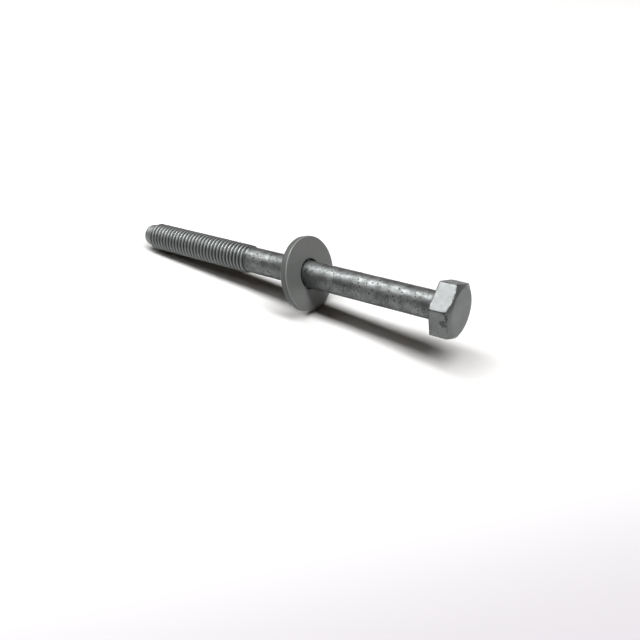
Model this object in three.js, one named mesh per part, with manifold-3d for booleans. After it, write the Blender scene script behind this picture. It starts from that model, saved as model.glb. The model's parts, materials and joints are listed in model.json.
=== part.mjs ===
// Hex bolt, M8 x 1.25, with a plain shank, a pilot point and a captive flat washer.
// Units are millimetres. The bolt lies as it does on a table: its thread end and the washer's rim
// touch the plane z = 0, its head is raised towards +X, and its axis is in the XZ plane.
import * as THREE from 'three';
import { ParametricGeometry } from 'three/addons/geometries/ParametricGeometry.js';
import { mergeVertices } from 'three/addons/utils/BufferGeometryUtils.js';
import Module from 'manifold-3d';

const wasm = await Module();
wasm.setup();

// Thread
const PITCH = 1.25;
const THREAD_MAJOR_RADIUS = 3.985;
const THREAD_ROOT_RADIUS = 3.25;
const CREST_WIDTH = PITCH / 8;
const ROOT_WIDTH = PITCH / 4;
const THREAD_START = 94.8; // first full crest, measured from the bearing face
const THREAD_END = 58.9; // last full groove, measured from the bearing face
const THREAD_SECTORS = 24;
const THREAD_TURN = THREE.MathUtils.degToRad(105); // where round the bolt the thread starts
const RUNOUT = 0.9; // length over which the last crest falls to the shank

// Shank and pilot point, lengths measured from the bearing face
const SHANK_RADIUS = 3.594;
const SHANK_END = 57.5; // where the thread runout begins
const POINT_RADIUS = 3.1;
const POINT_ROUNDING = 1.1;
const POINT_ROUNDING_STEPS = 4;
const POINT_START = 96.1;
const BOLT_LENGTH = 98.5;

// Head
const HEAD_ACROSS_FLATS = 13;
const HEAD_HEIGHT = 5.3;
const HEAD_TOP_RADIUS = 5.75;
const HEAD_CHAMFER = THREE.MathUtils.degToRad(30);
const HEAD_TURN = THREE.MathUtils.degToRad(6); // a corner's angle from straight up
const CHAMFER_SIDES = 72;

// Washer
const WASHER_RADIUS = 10;
const WASHER_HOLE_RADIUS = 3.95; // at the faces
const WASHER_WAIST_RADIUS = 3.75; // half way through, where the hole is narrowest
const WASHER_THICKNESS = 2;
const WASHER_EDGE = 0.3;
const WASHER_SIDES = 64;
const WASHER_DISTANCE = 38.6; // from the bearing face to the washer's centre
const WASHER_TILT = THREE.MathUtils.degToRad(12.3); // cocked on the shank until it binds

// How the bolt lies: the shank's slope when thread and washer rest on one plane
const SHANK_SLOPE = THREE.MathUtils.degToRad(5.87);

const zincFlake = new THREE.MeshStandardMaterial({
  name: 'zinc_flake_steel',
  color: 0x7d8282,
  roughness: 0.5,
  metalness: 0.85,
});
const zincFlakeWasher = new THREE.MeshStandardMaterial({
  name: 'zinc_flake_washer',
  color: 0x6f7573,
  roughness: 0.55,
  metalness: 0.8,
});

const MERGE_DISTANCE = 1e-4; // vertices closer than this are one vertex

// A closed three.js geometry as a manifold solid: shared vertices merged, empty triangles dropped.
function toSolid(geometry) {
  const bare = geometry.clone();
  bare.deleteAttribute('normal');
  bare.deleteAttribute('uv');
  const merged = mergeVertices(bare, MERGE_DISTANCE);
  const index = merged.index.array;
  const triangles = [];
  for (let i = 0; i < index.length; i += 3) {
    const [a, b, c] = [index[i], index[i + 1], index[i + 2]];
    if (a !== b && b !== c && c !== a) {
      triangles.push(a, b, c);
    }
  }
  return new wasm.Manifold(new wasm.Mesh({
    numProp: 3,
    vertProperties: new Float32Array(merged.attributes.position.array),
    triVerts: new Uint32Array(triangles),
  }));
}

function toGeometry(solid) {
  const mesh = solid.getMesh();
  const geometry = new THREE.BufferGeometry();
  geometry.setAttribute('position', new THREE.BufferAttribute(mesh.vertProperties, 3));
  geometry.setIndex(new THREE.BufferAttribute(mesh.triVerts, 1));
  return geometry;
}

// The thread's crest radius along the bolt: it swells over the lead-in and falls to the shank.
function crestRadius(y) {
  if (y < -THREAD_START) {
    const lead = (y + POINT_START) / (POINT_START - THREAD_START);
    return THREE.MathUtils.lerp(POINT_RADIUS, THREAD_MAJOR_RADIUS, THREE.MathUtils.clamp(lead, 0, 1));
  }
  const runout = THREE.MathUtils.clamp((y + SHANK_END + RUNOUT) / RUNOUT, 0, 1);
  return THREE.MathUtils.lerp(THREAD_MAJOR_RADIUS, SHANK_RADIUS, runout);
}

// The groove's bottom: the rolled groove gets shallower and closes just before the runout.
function rootRadius(y) {
  const fade = THREE.MathUtils.clamp((y + THREAD_END) / PITCH, 0, 1);
  const full = Math.min(THREAD_ROOT_RADIUS, crestRadius(y));
  return THREE.MathUtils.lerp(full, crestRadius(y), fade);
}

// Rows of the bolt's skin, from inside the head to the point. A thread row advances one pitch per
// turn, right-handed, and rows past either end of the thread fold onto that end's circle.
function skinRows() {
  const rows = [{ y: -BOLT_LENGTH, radius: 0 }];
  for (let i = 0; i <= POINT_ROUNDING_STEPS; i += 1) {
    const angle = (i / POINT_ROUNDING_STEPS) * Math.PI / 2;
    rows.push({
      y: -BOLT_LENGTH + POINT_ROUNDING * (1 - Math.cos(angle)),
      radius: POINT_RADIUS - POINT_ROUNDING * (1 - Math.sin(angle)),
    });
  }
  const rootStart = (PITCH + CREST_WIDTH - ROOT_WIDTH) / 2;
  const profile = [
    { climb: 0, thread: 'crest' },
    { climb: CREST_WIDTH, thread: 'crest' },
    { climb: rootStart, thread: 'root' },
    { climb: rootStart + ROOT_WIDTH, thread: 'root' },
  ];
  const turns = Math.ceil((POINT_START - SHANK_END) / PITCH) + 1;
  for (let turn = 0; turn <= turns; turn += 1) {
    const base = -POINT_START + turn * PITCH;
    profile.forEach(({ climb, thread }) => rows.push({ y: base + climb, thread }));
  }
  rows.push({ y: -SHANK_END, radius: SHANK_RADIUS });
  rows.push({ y: HEAD_HEIGHT / 2, radius: SHANK_RADIUS });
  rows.push({ y: HEAD_HEIGHT / 2, radius: 0 });
  return rows.reverse();
}

function threadedRod() {
  const rows = skinRows();
  const skin = (u, v, target) => {
    const row = rows[Math.round(v * (rows.length - 1))];
    const angle = u * 2 * Math.PI;
    let { y, radius } = row;
    if (row.thread) {
      y = THREE.MathUtils.clamp(row.y - u * PITCH, -POINT_START, -SHANK_END);
      radius = row.thread === 'crest' ? crestRadius(y) : rootRadius(y);
    }
    target.set(radius * Math.cos(angle), y, radius * Math.sin(angle));
  };
  const rod = new ParametricGeometry(skin, THREAD_SECTORS, rows.length - 1);
  return rod.rotateY(THREAD_TURN);
}

// Hexagonal prism with its top corners turned off by a cone.
function head() {
  const cornerRadius = HEAD_ACROSS_FLATS / Math.sqrt(3);
  const prism = new THREE.CylinderGeometry(cornerRadius, cornerRadius, HEAD_HEIGHT, 6);
  prism.rotateY(HEAD_TURN);
  prism.translate(0, HEAD_HEIGHT / 2, 0);
  const reach = 2 * cornerRadius;
  const drop = (reach - HEAD_TOP_RADIUS) * Math.tan(HEAD_CHAMFER);
  const cone = new THREE.LatheGeometry([
    new THREE.Vector2(0, HEAD_HEIGHT - drop - cornerRadius),
    new THREE.Vector2(reach, HEAD_HEIGHT - drop),
    new THREE.Vector2(HEAD_TOP_RADIUS, HEAD_HEIGHT),
    new THREE.Vector2(0, HEAD_HEIGHT),
  ], CHAMFER_SIDES);
  return toSolid(prism).intersect(toSolid(cone));
}

function boltGeometry() {
  return toGeometry(toSolid(threadedRod()).add(head()));
}

function washerGeometry() {
  const half = WASHER_THICKNESS / 2;
  const profile = [
    [WASHER_HOLE_RADIUS, -half],
    [WASHER_RADIUS - WASHER_EDGE, -half],
    [WASHER_RADIUS, -half + WASHER_EDGE],
    [WASHER_RADIUS, half - WASHER_EDGE],
    [WASHER_RADIUS - WASHER_EDGE, half],
    [WASHER_HOLE_RADIUS, half],
    [WASHER_WAIST_RADIUS, 0],
    [WASHER_HOLE_RADIUS, -half],
  ];
  const halfSide = Math.PI / WASHER_SIDES; // a flat of the rim faces down
  return new THREE.LatheGeometry(
    profile.map(([radius, y]) => new THREE.Vector2(radius, y)),
    WASHER_SIDES,
    halfSide,
  );
}

const bolt = new THREE.Mesh(boltGeometry(), zincFlake);
bolt.name = 'bolt';

const washer = new THREE.Mesh(washerGeometry(), zincFlakeWasher);
washer.name = 'washer';
washer.position.y = -WASHER_DISTANCE;
washer.rotation.x = WASHER_TILT;

// The bolt's axis runs along local Y; it is laid along X, then raised by the slope.
const axis = new THREE.Group();
axis.rotation.z = -Math.PI / 2;
axis.add(bolt, washer);

const lying = new THREE.Group();
lying.rotation.y = -SHANK_SLOPE;
lying.add(axis);

const group = new THREE.Group();
group.name = 'hex_bolt';
group.add(lying);

// The origin is under the middle of the part, on the plane it lies on.
group.updateMatrixWorld(true);
const bounds = new THREE.Box3().setFromObject(group, true);
const middle = bounds.getCenter(new THREE.Vector3());
lying.position.set(-middle.x, -middle.y, -bounds.min.z);

export default group;
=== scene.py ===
"""Hex bolt with a captive washer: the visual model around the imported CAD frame."""

import json
import math

import bmesh
import bpy
import numpy as np
from mathutils import Matrix, Vector, noise


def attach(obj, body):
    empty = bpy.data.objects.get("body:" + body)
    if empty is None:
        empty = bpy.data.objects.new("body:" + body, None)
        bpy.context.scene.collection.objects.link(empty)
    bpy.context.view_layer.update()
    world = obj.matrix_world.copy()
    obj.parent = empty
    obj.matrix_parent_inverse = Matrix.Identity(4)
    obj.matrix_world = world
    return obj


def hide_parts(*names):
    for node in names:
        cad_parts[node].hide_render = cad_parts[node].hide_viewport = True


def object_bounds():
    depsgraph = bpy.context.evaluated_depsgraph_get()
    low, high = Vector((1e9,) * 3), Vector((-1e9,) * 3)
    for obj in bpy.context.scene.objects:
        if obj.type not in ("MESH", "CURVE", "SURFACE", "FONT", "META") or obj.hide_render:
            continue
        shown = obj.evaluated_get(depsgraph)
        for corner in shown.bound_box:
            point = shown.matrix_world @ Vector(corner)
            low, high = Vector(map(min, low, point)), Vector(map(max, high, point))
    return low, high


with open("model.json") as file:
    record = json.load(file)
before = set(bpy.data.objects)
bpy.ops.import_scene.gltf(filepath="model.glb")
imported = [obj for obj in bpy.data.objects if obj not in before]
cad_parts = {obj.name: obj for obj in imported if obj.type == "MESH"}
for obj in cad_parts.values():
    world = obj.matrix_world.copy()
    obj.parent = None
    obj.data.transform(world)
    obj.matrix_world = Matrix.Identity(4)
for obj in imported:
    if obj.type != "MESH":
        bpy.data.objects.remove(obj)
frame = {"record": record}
cad_low, cad_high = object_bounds()

# ---------------------------------------------------------------- dimensions, in millimetres
MM = 0.001
WELD = 0.001  # points closer than this are one point
AXIS_RADIUS = 1e-4  # a ring this small closes an end of the bolt

# Thread, shank and point: radii, and distances from the head's bearing face
PITCH = 1.25
MAJOR = 3.975
ROOT = 3.27
THREAD_START = 94.8
POINT_START = 96.1
THREAD_END = 58.9
SHANK_END = 57.5
RUNOUT = 0.9  # the last crest falls to the shank over this length
THREAD_TURN = math.radians(105)
SHANK = 3.594
FILLET = 0.5  # rounding between shank and head
POINT = 3.1
POINT_ROUNDING = 1.1
LENGTH = 98.49

# Head, with spots on it in the bolt's own frame: its axis is Y, and the bearing face is at 0
ACROSS_FLATS = 13.0
HEAD_HEIGHT = 5.3
HEAD_TOP = 5.75
HEAD_EDGE = 0.12  # how far the hexagon's edges are rounded
CHAMFER = math.radians(30)
HEAD_TURN = math.radians(6)
KNOCK = np.array((6.5, 3.7, -0.25))
CHIP = np.array((6.8, 4.1, 3.1))
# two dark marks near the head's top edge on one side
DARK_MARK_HIGH = np.array((6.72, 4.4, 2.35))
DARK_MARK_LOW = np.array((6.65, 4.5, 1.5))

WASHER_OUTER = 9.98
WASHER_HOLE = 3.95  # at the faces
WASHER_WAIST = 3.7  # half way through, where the hole is narrowest
WASHER_THICKNESS = 2.0
WASHER_DISTANCE = 38.6  # from the bearing face to the washer's centre
WASHER_TILT = math.radians(12.3)

# ---------------------------------------------------------------- where the CAD parts lie
mounts = {m["name"]: m for m in frame["record"]["mounts"]}
along = Vector(mounts["head_top"]["axis"]).normalized()
across = Vector((0, -1, 0))
upward = across.cross(along)
bearing = Vector(mounts["head_top"]["pos_m"]) - along * HEAD_HEIGHT * MM
BOLT = Matrix((across, along, upward)).transposed().to_4x4()
BOLT.translation = bearing
WASHER = BOLT @ Matrix.Translation((0, -WASHER_DISTANCE * MM, 0)) @ Matrix.Rotation(WASHER_TILT, 4, "X")


# ---------------------------------------------------------------- mesh helpers
def smoothstep(x):
    x = np.clip(x, 0, 1)
    return x * x * (3 - 2 * x)


def wobble(points, scale, seed):
    """Smooth deterministic noise, about -1 to 1, at points given in millimetres."""
    offset = Vector((seed * 17.3, seed * 5.1, seed * 9.7))
    return np.array([noise.noise(Vector(p) / scale + offset) for p in points])


def grid_faces(rows, columns, closed=True):
    """Quads of a rows x columns grid of points. The columns wrap round where closed is true."""
    faces = []
    wrap = columns if closed else columns - 1
    for i in range(rows - 1):
        for j in range(wrap):
            k = (j + 1) % columns
            faces.append((i * columns + j, i * columns + k, (i + 1) * columns + k, (i + 1) * columns + j))
    return faces


def build(name, parts, matrix, surface):
    """One object from (points in mm, faces) pairs; surface(points) gives its attributes."""
    points, faces = [], []
    for some, own in parts:
        base = len(points)
        points.extend(map(tuple, np.asarray(some) * MM))
        faces.extend(tuple(base + i for i in f) for f in own)
    mesh = bpy.data.meshes.new(name)
    mesh.from_pydata(points, [], faces)
    mesh.validate()
    obj = bpy.data.objects.new(name, mesh)
    bpy.context.scene.collection.objects.link(obj)
    bm = bmesh.new()
    bm.from_mesh(mesh)
    bmesh.ops.remove_doubles(bm, verts=bm.verts, dist=WELD * MM)
    bmesh.ops.dissolve_degenerate(bm, edges=bm.edges, dist=1e-8)
    bmesh.ops.recalc_face_normals(bm, faces=bm.faces)
    for f in bm.faces:
        f.smooth = True
    bm.to_mesh(mesh)
    bm.free()
    local = np.array([v.co for v in mesh.vertices]) / MM
    for key, values in surface(local).items():
        mesh.attributes.new(key, "FLOAT", "POINT").data.foreach_set("value", values.astype(np.float32))
    mesh.transform(matrix)
    return obj


def weighted_normals(obj):
    mod = obj.modifiers.new("normals", "WEIGHTED_NORMAL")
    mod.weight = 100
    mod.keep_sharp = True


# ---------------------------------------------------------------- bolt
SECTORS = 96  # points round the rod
STEPS = 14  # points along one thread pitch
SHANK_ROWS = 230


def crest_radius(y):
    lead = smoothstep((y + POINT_START) / (POINT_START - THREAD_START))
    out = smoothstep((y + SHANK_END + RUNOUT) / RUNOUT)
    return np.where(y < -THREAD_START, POINT + (MAJOR - POINT) * lead, MAJOR + (SHANK - MAJOR) * out)


def thread_height(phase):
    """The rolled thread's section over one pitch: 1 on the crest, 0 in the groove, rounded between."""
    crest = 0.0625
    d = np.abs((phase - crest + 0.5) % 1 - 0.5) * 2
    return 1 - smoothstep((d - 0.1) / 0.74) * 0.55 - np.clip((d - 0.12) / 0.66, 0, 1) * 0.45


def rod():
    """Rings from the point to the head. A thread row climbs one pitch per turn, right-handed."""
    angles = np.arange(SECTORS + 1) / SECTORS  # the last column meets the first, one pitch along
    rows_y, rows_r = [], []

    def ring(y, r):
        rows_y.append(np.full(SECTORS + 1, y))
        rows_r.append(np.full(SECTORS + 1, r))

    ring(-LENGTH, AXIS_RADIUS)
    ring(-LENGTH, 0.9)
    for i in range(9):
        a = i / 8 * math.pi / 2
        ring(-LENGTH + POINT_ROUNDING * (1 - math.cos(a)), POINT - POINT_ROUNDING * (1 - math.sin(a)))
    for y in np.linspace(-LENGTH + POINT_ROUNDING, -POINT_START, 5)[1:]:
        ring(y, POINT)
    turns = math.ceil((POINT_START - SHANK_END) / PITCH) + 1
    for k in range((turns + 1) * STEPS):
        y = -POINT_START + k * PITCH / STEPS - angles * PITCH
        phase = (k / STEPS) % 1
        y = np.clip(y, -POINT_START, -SHANK_END)
        crest = crest_radius(y)
        fade = smoothstep((y + THREAD_END) / (1.6 * PITCH))
        root = np.minimum(ROOT, crest)
        root = root + (crest - root) * fade
        rows_y.append(y)
        rows_r.append(root + (crest - root) * thread_height(phase))
    for y in np.linspace(-SHANK_END, -FILLET, SHANK_ROWS)[1:]:
        ring(y, SHANK)
    for i in range(1, 7):
        a = i / 6 * math.pi / 2
        ring(-FILLET + FILLET * math.sin(a), SHANK + FILLET * (1 - math.cos(a)))
    y, r = np.array(rows_y), np.array(rows_r)
    turn = angles * 2 * math.pi
    x = r * np.cos(turn)
    z = r * np.sin(turn)
    c, s = math.cos(THREAD_TURN), math.sin(THREAD_TURN)
    points = np.stack([x * c + z * s, y, -x * s + z * c], -1).reshape(-1, 3)
    return points, grid_faces(len(y), SECTORS + 1, closed=False)


def hexagon_outline(corner_round=0.35, flat_points=26, corner_points=7):
    """(angle from local Z towards X, radius) round a hexagon with slightly rounded corners."""
    inner = ACROSS_FLATS / 2
    apex = inner / math.cos(math.pi / 6)
    centre = apex - corner_round / math.cos(math.pi / 6)
    out = []
    for k in range(6):
        base = HEAD_TURN + k * math.pi / 3
        arc = []
        for i in range(corner_points):
            a = (i / (corner_points - 1) - 0.5) * math.pi / 3
            arc.append((centre + corner_round * math.cos(a), corner_round * math.sin(a)))
        out += [(base, p) for p in arc]
        start = Vector(arc[-1])
        turned = Matrix.Rotation(math.pi / 3, 2)
        end = turned @ Vector(arc[0])
        for i in range(1, flat_points):
            out.append((base, tuple(start.lerp(end, i / flat_points))))
    angles = np.array([b + math.atan2(p[1], p[0]) for b, p in out])
    radii = np.array([math.hypot(*p) for _, p in out])
    return angles, radii


def head():
    """Rings from the bearing face up the hexagon's sides and over the chamfer to the top."""
    angles, radii = hexagon_outline()
    n = len(angles)
    edge = HEAD_EDGE
    height = np.minimum(HEAD_HEIGHT - (radii - HEAD_TOP) * math.tan(CHAMFER), HEAD_HEIGHT)
    rows = []

    def row(r, y):
        r = np.broadcast_to(r, (n,)).astype(float)
        y = np.broadcast_to(y, (n,)).astype(float)
        rows.append(np.stack([r * np.sin(angles), y, r * np.cos(angles)], -1))

    row(5.0, 0.0)
    row(radii - edge, 0.0)
    row(radii - edge * 0.3, edge * 0.3)
    row(radii, edge)
    for f in np.linspace(0, 1, 17)[1:-1]:
        row(radii, edge + (height - 2 * edge) * f)
    row(radii, height - edge)
    row(radii - edge * 0.12, height - edge * 0.35)
    row(radii - edge * 0.45, height + edge * 0.08)
    row(radii - edge, height + edge * math.tan(CHAMFER))
    row(HEAD_TOP + 0.5 * (radii - edge - HEAD_TOP), height + (HEAD_HEIGHT - height) * 0.5 + edge * 0.2)
    row(HEAD_TOP + 0.22, HEAD_HEIGHT - 0.22 * math.tan(CHAMFER))
    row(HEAD_TOP, HEAD_HEIGHT - 0.025)
    row(HEAD_TOP - 0.22, HEAD_HEIGHT)
    for r in (4.6, 3.4, 2.2, 1.0, AXIS_RADIUS):
        row(r, HEAD_HEIGHT)
    points = np.concatenate(rows)
    return points, grid_faces(len(rows), n)


def neck(inner, outer):
    """Triangles between two rings round the bolt that have different numbers of points."""
    points, rings = np.concatenate([inner, outer]), []
    for ring, first in ((inner, 0), (outer, len(inner))):
        angle = np.arctan2(ring[:, 0], ring[:, 2]) % (2 * math.pi)
        order = np.argsort(angle)
        around = list(angle[order]) + [angle[order[0]] + 2 * math.pi]
        rings.append((list(order + first) + [order[0] + first], around))
    (a, a_angle), (b, b_angle) = rings
    i, j, faces = 0, 0, []
    while i < len(inner) or j < len(outer):
        if j == len(outer) or (i < len(inner) and a_angle[i + 1] <= b_angle[j + 1]):
            faces.append((a[i], a[i + 1], b[j]))
            i += 1
        else:
            faces.append((a[i], b[j + 1], b[j]))
            j += 1
    return points, [tuple(map(int, face)) for face in faces]


def push(points, shift):
    """Moves points away from the bolt's axis by shift, in millimetres."""
    radial = np.maximum(np.hypot(points[:, 0], points[:, 2]), 1e-6)
    moved = np.array(points, float)
    moved[:, 0] += points[:, 0] / radial * shift
    moved[:, 2] += points[:, 2] / radial * shift
    return moved


def worn_rod(points):
    """The cold-forged skin of the plain shank: shallow dents and ripples of the coating."""
    y = points[:, 1]
    on_shank = ((y > -SHANK_END + 0.4) & (y < -0.4)).astype(float)
    coarse = wobble(points * (1, 0.45, 1), 1.3, 1) * 0.02
    fine = wobble(points, 0.55, 2) * 0.01
    return push(points, np.minimum(coarse + fine - 0.015, 0.005) * on_shank)


def worn_head(points):
    """The hexagon's sides: slightly uneven, with one knock on the side that faces across."""
    wall = (points[:, 1] > 0.2) & (points[:, 1] < HEAD_HEIGHT - 0.2)
    wall &= np.hypot(points[:, 0], points[:, 2]) > HEAD_TOP + 0.3
    uneven = wobble(points, 1.7, 4) * 0.012 - 0.012
    distance = np.linalg.norm(points - KNOCK, axis=1)
    knock = smoothstep(1 - distance / 1.1) * (0.09 + 0.05 * wobble(points, 0.5, 5))
    return push(points, (uneven - knock) * wall)


def bolt_surface(points):
    """Painted shade is 1 deep in the thread's groove and 0.44 on the head's top face; wear on the shank,
    matt on the thread, chip on edges.
    """
    y = points[:, 1]
    radial = np.hypot(points[:, 0], points[:, 2])
    threaded = (y < -SHANK_END) & (y > -POINT_START)
    # painted shade: darker deep in the thread's groove and over the head's top face
    painted_shade = np.clip((MAJOR - radial) / (MAJOR - ROOT), 0, 1) * threaded + 0.44 * (y > HEAD_HEIGHT - 0.05)
    shank = smoothstep((y + SHANK_END + 1.0) / 1.5) * smoothstep((0.6 - y) / 0.5)
    rolled = smoothstep((-SHANK_END - y) / 1.2)
    face = smoothstep((y - HEAD_HEIGHT + 0.1) / 0.1)
    wear = 0.25 - 0.2 * face + 0.75 * shank
    inner = ACROSS_FLATS / 2
    half_side = inner * math.tan(math.pi / 6)
    from_corner = half_side - np.sqrt(np.maximum(radial**2 - inner**2, 0))
    from_chamfer = HEAD_HEIGHT - (radial - HEAD_TOP) * math.tan(CHAMFER) - y
    nearest = np.minimum(from_corner, np.where(from_chamfer > 0.03, from_chamfer, 1))
    on_wall = (y > 0.01) * (y < HEAD_HEIGHT - 0.02) * (radial > HEAD_TOP + 0.3)
    chip = smoothstep(1 - np.minimum(nearest, y) / 0.45) * on_wall
    return {"painted_shade": painted_shade, "wear": wear, "edge": 0 * y, "matt": rolled, "chip": chip}


def washer_surface(points):
    """edge is 1 on the rounded corners and carries a painted highlight; painted shade fills the hole and
    the outer rim's wall; chip along the corners; all is matt.
    """
    radial = np.hypot(points[:, 0], points[:, 2])
    corner = np.hypot(radial - WASHER_OUTER, np.abs(points[:, 1]) - WASHER_THICKNESS / 2)
    # edge: a painted highlight along the washer's rounded corners
    edge = 1 - smoothstep((corner - 0.08) / 0.18)
    inside = smoothstep((WASHER_HOLE + 0.12 - radial) / 0.15)
    rim_shade = smoothstep((radial - WASHER_OUTER + 0.12) / 0.1) * (1 - edge)
    chip = 0.6 * smoothstep(1 - corner / 0.2)
    # painted shade inside the hole and, at half strength, on the outer rim's wall
    painted_shade = np.maximum(inside, 0.5 * rim_shade)
    return {"painted_shade": painted_shade, "wear": 0 * edge + 0.05, "edge": edge, "matt": 0 * edge + 1, "chip": chip}


rod_points, rod_faces = rod()
head_points, head_faces = head()
neck_points, neck_faces = neck(rod_points[-SECTORS:], head_points[: len(hexagon_outline()[0])])
bolt_parts = [
    (worn_rod(rod_points), rod_faces),
    (worn_head(head_points), head_faces),
    (neck_points, neck_faces),
]
bolt = build("bolt_forged", bolt_parts, BOLT, bolt_surface)
weighted_normals(bolt)


# ---------------------------------------------------------------- washer
def washer_mesh():
    sides = 192
    half = WASHER_THICKNESS / 2
    profile = []

    def corner(r, y, size, r_dir, y_dir, start_on_face):
        """A rounded corner at (r, y): from the face to the wall, or back."""
        steps = 6
        arc = []
        for i in range(steps + 1):
            a = i / steps * math.pi / 2
            arc.append((r - r_dir * size * (1 - math.sin(a)), y - y_dir * size * (1 - math.cos(a))))
        return arc if start_on_face else arc[::-1]

    for r in np.linspace(WASHER_HOLE + 0.6, WASHER_OUTER - 0.8, 9):
        profile.append((r, half))
    profile += corner(WASHER_OUTER, half, 0.26, 1, 1, True)
    profile += corner(WASHER_OUTER, -half, 0.35, 1, -1, False)
    for r in np.linspace(WASHER_OUTER - 0.8, WASHER_HOLE + 0.6, 9):
        profile.append((r, -half))
    profile += corner(WASHER_HOLE, -half, 0.18, -1, -1, True)
    for h in np.linspace(-0.72, 0.6, 12):
        profile.append((WASHER_WAIST + (WASHER_HOLE - WASHER_WAIST) * abs(h) / half, h))
    profile += corner(WASHER_HOLE, half, 0.3, -1, 1, False)
    angles = np.arange(sides) / sides * 2 * math.pi
    rows = [np.stack([r * np.cos(angles), np.full(sides, y), r * np.sin(angles)], -1) for r, y in profile]
    rows.append(rows[0])
    points = np.concatenate(rows)
    radial = np.hypot(points[:, 0], points[:, 2])
    inward = -np.sign(points[:, 1]) * (np.abs(points[:, 1]) > half - 0.02)
    points[:, 1] += inward * (0.012 + 0.012 * wobble(points, 2.6, 3)) * (radial > WASHER_HOLE + 0.5)
    return points, grid_faces(len(rows), sides)


washer = build("washer_stamped", [washer_mesh()], WASHER, washer_surface)
weighted_normals(washer)

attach(bolt, "bolt")
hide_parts("bolt")
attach(washer, "washer")
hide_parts("washer")


# ---------------------------------------------------------------- materials
class Nodes:
    """A material's node tree, with one short method for each kind of step."""

    def __init__(self, name):
        self.material = bpy.data.materials.new(name)
        self.material.use_nodes = True
        self.tree = self.material.node_tree
        self.shader = self.tree.nodes["Principled BSDF"]

    def new(self, kind, **values):
        node = self.tree.nodes.new(kind)
        for key, value in values.items():
            if hasattr(node, key):
                setattr(node, key, value)
            else:
                node.inputs[key.replace("_", " ")].default_value = value
        return node

    def link(self, a, b):
        self.tree.links.new(a, b)

    def attribute(self, name):
        return self.new("ShaderNodeAttribute", attribute_name=name).outputs["Fac"]

    def noise(self, vector, scale, detail, roughness=0.55):
        node = self.new("ShaderNodeTexNoise", Scale=scale, Detail=detail, Roughness=roughness)
        self.link(vector, node.inputs["Vector"])
        return node.outputs["Fac"]

    def warped(self, vector, scale, amount):
        """The same coordinates, pushed about by amount so that round cells lose their outline."""
        node = self.new("ShaderNodeTexNoise", Scale=scale, Detail=2.0)
        self.link(vector, node.inputs["Vector"])
        centred = self.new("ShaderNodeVectorMath", operation="SUBTRACT")
        self.link(node.outputs["Color"], centred.inputs[0])
        centred.inputs[1].default_value = (0.5, 0.5, 0.5)
        scaled = self.new("ShaderNodeVectorMath", operation="MULTIPLY_ADD")
        self.link(centred.outputs["Vector"], scaled.inputs[0])
        scaled.inputs[1].default_value = (amount, amount, amount)
        self.link(vector, scaled.inputs[2])
        return scaled.outputs["Vector"]

    def ramp(self, value, low, high, out_low=0.0, out_high=1.0):
        node = self.new("ShaderNodeMapRange", interpolation_type="SMOOTHSTEP")
        self.link(value, node.inputs["Value"])
        node.inputs["From Min"].default_value = low
        node.inputs["From Max"].default_value = high
        node.inputs["To Min"].default_value = out_low
        node.inputs["To Max"].default_value = out_high
        return node.outputs["Result"]

    def math(self, operation, a, b):
        node = self.new("ShaderNodeMath", operation=operation)
        for socket, value in zip(node.inputs, (a, b)):
            if isinstance(value, (int, float)):
                socket.default_value = value
            else:
                self.link(value, socket)
        return node.outputs[0]

    def mix(self, fac, a, b):
        node = self.new("ShaderNodeMix", data_type="RGBA")
        for socket, value in ((node.inputs[0], fac), (node.inputs[6], a), (node.inputs[7], b)):
            if isinstance(value, tuple):
                socket.default_value = (*value, 1)
            elif isinstance(value, (int, float)):
                socket.default_value = value
            else:
                self.link(value, socket)
        return node.outputs[2]


def marks(n, coords, spots):
    """A mask that is 1 inside ragged spots, each a (place, radius) in the bolt's own millimetres."""
    ragged = n.noise(coords, 1300, 3, 0.6)
    total = 0.0
    for place, radius in spots:
        distance = n.new("ShaderNodeVectorMath", operation="DISTANCE")
        n.link(coords, distance.inputs[0])
        distance.inputs[1].default_value = BOLT @ Vector(place * MM)
        inside = n.math("SUBTRACT", 1.0, n.math("DIVIDE", distance.outputs["Value"], radius * MM))
        inside = n.math("ADD", inside, n.math("MULTIPLY", n.math("SUBTRACT", ragged, 0.5), 2.2))
        total = n.math("MAXIMUM", total, n.ramp(inside, 0.1, 0.45))
    return total


def shade(colour, factor):
    return tuple(c * factor for c in colour)


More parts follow.
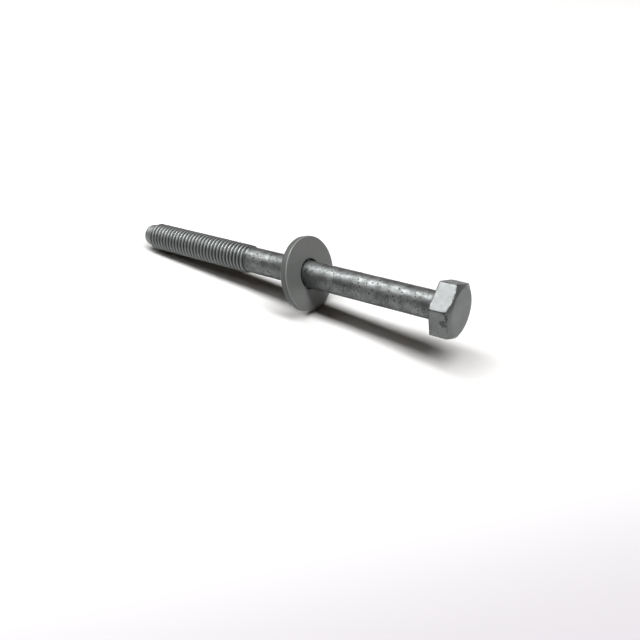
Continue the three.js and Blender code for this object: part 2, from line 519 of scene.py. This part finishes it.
def zinc_flake(name, base, light, dark, metallic, rough, lift, spots):
    """Matt grey zinc coating: cloudy patches and grain, with pits and blotches where it is worn, painted
    shade in the thread's groove, on the head's top and in the washer's hole and rim, and a painted
    highlight on the washer's rounded edges.

    metallic and rough are pairs, for matt 0 and matt 1; lift lightens what is matt.
    """
    n = Nodes(name)
    coords = n.new("ShaderNodeTexCoord").outputs["Object"]
    wear = n.attribute("wear")
    painted_shade = n.attribute("painted_shade")
    edge = n.attribute("edge")
    matt = n.attribute("matt")
    chip = n.attribute("chip")
    patches = n.noise(coords, 230, 3)
    blotches = n.noise(coords, 620, 3, 0.6)
    grain = n.noise(coords, 1700, 4, 0.6)
    cloud = n.math("SUBTRACT", n.ramp(patches, 0.35, 0.68), 0.6)
    cloud = n.math("MULTIPLY", cloud, n.ramp(wear, 0.0, 1.0, 0.3, 1.0))
    colour = n.mix(n.math("ADD", cloud, 0.6), dark, base)
    speckle = n.math("ADD", n.math("MULTIPLY", wear, 0.53), 0.07)
    colour = n.mix(n.math("MULTIPLY", n.ramp(grain, 0.48, 0.78), speckle), colour, light)
    dull = n.math("MULTIPLY", n.ramp(blotches, 0.56, 0.70), wear)
    colour = n.mix(n.math("MULTIPLY", dull, 0.6), colour, dark)
    round_the_bolt = n.new("ShaderNodeVectorMath", operation="MULTIPLY")
    n.link(coords, round_the_bolt.inputs[0])
    round_the_bolt.inputs[1].default_value = (1.0, 0.3, 0.3)
    scuffs = n.noise(round_the_bolt.outputs["Vector"], 1500, 3, 0.6)
    scuffs = n.math("MULTIPLY", n.ramp(scuffs, 0.55, 0.63), n.ramp(patches, 0.56, 0.46))
    colour = n.mix(n.math("MULTIPLY", n.math("MULTIPLY", scuffs, wear), 0.6), colour, shade(dark, 0.5))
    cells = n.new("ShaderNodeTexVoronoi", Scale=1400.0, Randomness=1.0)
    n.link(n.warped(coords, 1500, 0.0005), cells.inputs["Vector"])
    chosen = n.new("ShaderNodeSeparateColor")
    n.link(cells.outputs["Color"], chosen.inputs["Color"])
    size = n.ramp(chosen.outputs["Red"], 0.1, 1.0, 0.0, 0.42)
    size = n.math("MULTIPLY", size, n.ramp(patches, 0.42, 0.58, 0.2, 1.0))
    pits = n.ramp(n.math("SUBTRACT", size, cells.outputs["Distance"]), -0.06, 0.08)
    pits = n.math("MULTIPLY", pits, wear)
    if spots:
        pits = n.math("MAXIMUM", pits, n.math("MULTIPLY", marks(n, coords, spots), 0.8))
    colour = n.mix(n.math("MULTIPLY", pits, 0.8), colour, shade(dark, 0.3))
    colour = n.mix(n.math("MULTIPLY", matt, lift), colour, shade(light, 1.4))
    # painted shade: darkens the thread's groove, the head's top, the washer's hole and its rim
    colour = n.mix(n.ramp(painted_shade, 0.2, 0.85, 0.0, 0.85), colour, shade(dark, 0.45))
    # painted highlight: lightens the washer's rounded edges
    colour = n.mix(n.math("MULTIPLY", edge, 0.5), colour, shade(light, 1.9))
    chips = n.ramp(n.noise(coords, 1900, 3, 0.6), 0.46, 0.56)
    chips = n.math("MULTIPLY", chips, n.ramp(chip, 0.15, 0.8))
    colour = n.mix(n.math("MULTIPLY", chips, 0.8), colour, shade(dark, 0.35))
    n.link(colour, n.shader.inputs["Base Color"])
    n.link(n.ramp(matt, 0.0, 1.0, metallic[0], metallic[1]), n.shader.inputs["Metallic"])
    uneven = n.math("MULTIPLY", n.ramp(blotches, 0.35, 0.7, 0.0, 0.2), wear)
    n.link(n.math("ADD", uneven, n.ramp(matt, 0.0, 1.0, rough[0], rough[1])), n.shader.inputs["Roughness"])
    height = n.math("MULTIPLY", n.math("MULTIPLY", blotches, wear), 0.85)
    height = n.math("ADD", height, n.math("MULTIPLY", grain, 0.2))
    height = n.math("SUBTRACT", height, n.math("MULTIPLY", pits, 0.6))
    bump = n.new("ShaderNodeBump", Strength=0.6, Distance=0.00006)
    n.link(height, bump.inputs["Height"])
    n.link(bump.outputs["Normal"], n.shader.inputs["Normal"])
    return n.material


bolt.data.materials.append(
    zinc_flake(
        "zinc_flake_steel",
        base=(0.265, 0.276, 0.276),
        light=(0.385, 0.4, 0.4),
        dark=(0.17, 0.178, 0.178),
        metallic=(0.78, 0.8),
        rough=(0.41, 0.5),
        lift=0.3,
        spots=[(KNOCK, 1.25), (CHIP, 0.65), (DARK_MARK_HIGH, 0.5), (DARK_MARK_LOW, 0.6)],
    )
)
washer.data.materials.append(
    zinc_flake(
        "zinc_flake_washer",
        base=(0.176, 0.184, 0.18),
        light=(0.2, 0.208, 0.205),
        dark=(0.157, 0.164, 0.161),
        metallic=(0.0, 0.0),
        rough=(0.38, 0.38),
        lift=0.0,
        spots=[],
    )
)


# ---------------------------------------------------------------- floor, light, camera, in metres
FLOOR_HALF = 3.0
SCREEN_RADIUS = 1.1
SCREEN_HEIGHT = 4.0


def floor():
    """A pale table with painted shade: it gets slightly darker to the right of the head, standing in for
    the light falling off there.
    """
    corners = [(x * FLOOR_HALF, y * FLOOR_HALF, 0) for x, y in ((-1, -1), (1, -1), (1, 1), (-1, 1))]
    mesh = bpy.data.meshes.new("floor")
    mesh.from_pydata(corners, [], [(0, 1, 2, 3)])
    obj = bpy.data.objects.new("floor", mesh)
    bpy.context.scene.collection.objects.link(obj)
    obj.location.z = cad_low.z
    n = Nodes("white_table")
    coords = n.new("ShaderNodeSeparateXYZ")
    n.link(n.new("ShaderNodeTexCoord").outputs["Object"], coords.inputs[0])
    along_x = n.math("MULTIPLY", coords.outputs["X"], 0.75)
    along_y = n.math("MULTIPLY", coords.outputs["Y"], 0.66)
    # painted shade: the floor's colour darkens to the right of the head, for the light falling off there
    falloff_shade = n.ramp(n.math("SUBTRACT", along_x, along_y), 0.05, 0.115)
    colour = n.mix(falloff_shade, (0.62, 0.62, 0.62), (0.45, 0.44, 0.46))
    n.link(colour, n.shader.inputs["Base Color"])
    n.shader.inputs["Roughness"].default_value = 0.9
    n.shader.inputs["Specular IOR Level"].default_value = 0.1
    obj.data.materials.append(n.material)


def backdrop():
    """A pale screen round the table. Only the camera sees it, and it lights nothing."""
    sides = 96
    angles = np.arange(sides) / sides * 2 * math.pi
    ring = np.stack([np.cos(angles), np.sin(angles)], -1) * SCREEN_RADIUS
    points = [(x, y, z) for z in (0.0, SCREEN_HEIGHT) for x, y in ring]
    mesh = bpy.data.meshes.new("backdrop")
    mesh.from_pydata(points, [], grid_faces(2, sides))
    obj = bpy.data.objects.new("backdrop", mesh)
    bpy.context.scene.collection.objects.link(obj)
    obj.location.z = cad_low.z
    obj.visible_diffuse = False
    obj.visible_glossy = False
    obj.visible_transmission = False
    obj.visible_shadow = False
    n = Nodes("pale_screen")
    n.shader.inputs["Base Color"].default_value = (0, 0, 0, 1)
    n.shader.inputs["Specular IOR Level"].default_value = 0
    n.shader.inputs["Emission Color"].default_value = (1, 1, 1, 1)
    n.shader.inputs["Emission Strength"].default_value = 1.0
    obj.data.materials.append(n.material)


def panel(name, centre, facing, width, height, watts):
    """A rectangular light at centre whose face looks along facing, with its width level."""
    data = bpy.data.lights.new(name, "AREA")
    data.shape = "RECTANGLE"
    data.size = width
    data.size_y = height
    data.energy = watts
    lamp = bpy.data.objects.new(name, data)
    facing = Vector(facing).normalized()
    level = facing.cross(Vector((0, 0, 1)))
    side = level.normalized() if abs(facing.z) < 0.99 else Vector((1, 0, 0))
    matrix = Matrix((side, (-facing).cross(side), -facing)).transposed().to_4x4()
    matrix.translation = Vector(centre)
    lamp.matrix_world = matrix
    bpy.context.scene.collection.objects.link(lamp)


def surroundings(strength):
    """A dim warm light from all sides."""
    world = bpy.data.worlds.new("studio")
    bpy.context.scene.world = world
    world.use_nodes = True
    background = world.node_tree.nodes["Background"]
    background.inputs["Color"].default_value = (1, 0.7, 0.44, 1)
    background.inputs["Strength"].default_value = strength


def camera():
    data = bpy.data.cameras.new("camera")
    data.sensor_width = 36
    data.lens = 38.02
    data.clip_start = 0.005
    data.clip_end = 20
    cam = bpy.data.objects.new("camera", data)
    right = Vector((0.8274784, 0.5614935, -0.0021232))
    down = Vector((0.3243758, -0.4811155, -0.8144374))
    forward = Vector((-0.4583228, 0.6732406, -0.5802476))
    matrix = Matrix((right, -down, -forward)).transposed().to_4x4()
    matrix.translation = Vector((0.0967767, -0.1250490, 0.1038609))
    cam.matrix_world = matrix
    bpy.context.scene.collection.objects.link(cam)
    bpy.context.scene.camera = cam


floor()
backdrop()
panel("strip", (0.25, 0.0, 1.5), facing=(0, 0, -1), width=3.0, height=0.52, watts=60)
panel("window", (-1.16, -0.6, 1.5), facing=(1.16, 0.6, -1.5), width=1.0, height=0.5, watts=10)
panel("low_fill", (-0.3, -2.0, 0.45), facing=(0, 1, 0), width=3.0, height=0.8, watts=0.6)
surroundings(0.05)
camera()
bpy.context.scene.view_settings.view_transform = "Standard"
bpy.context.scene.view_settings.gamma = 0.8
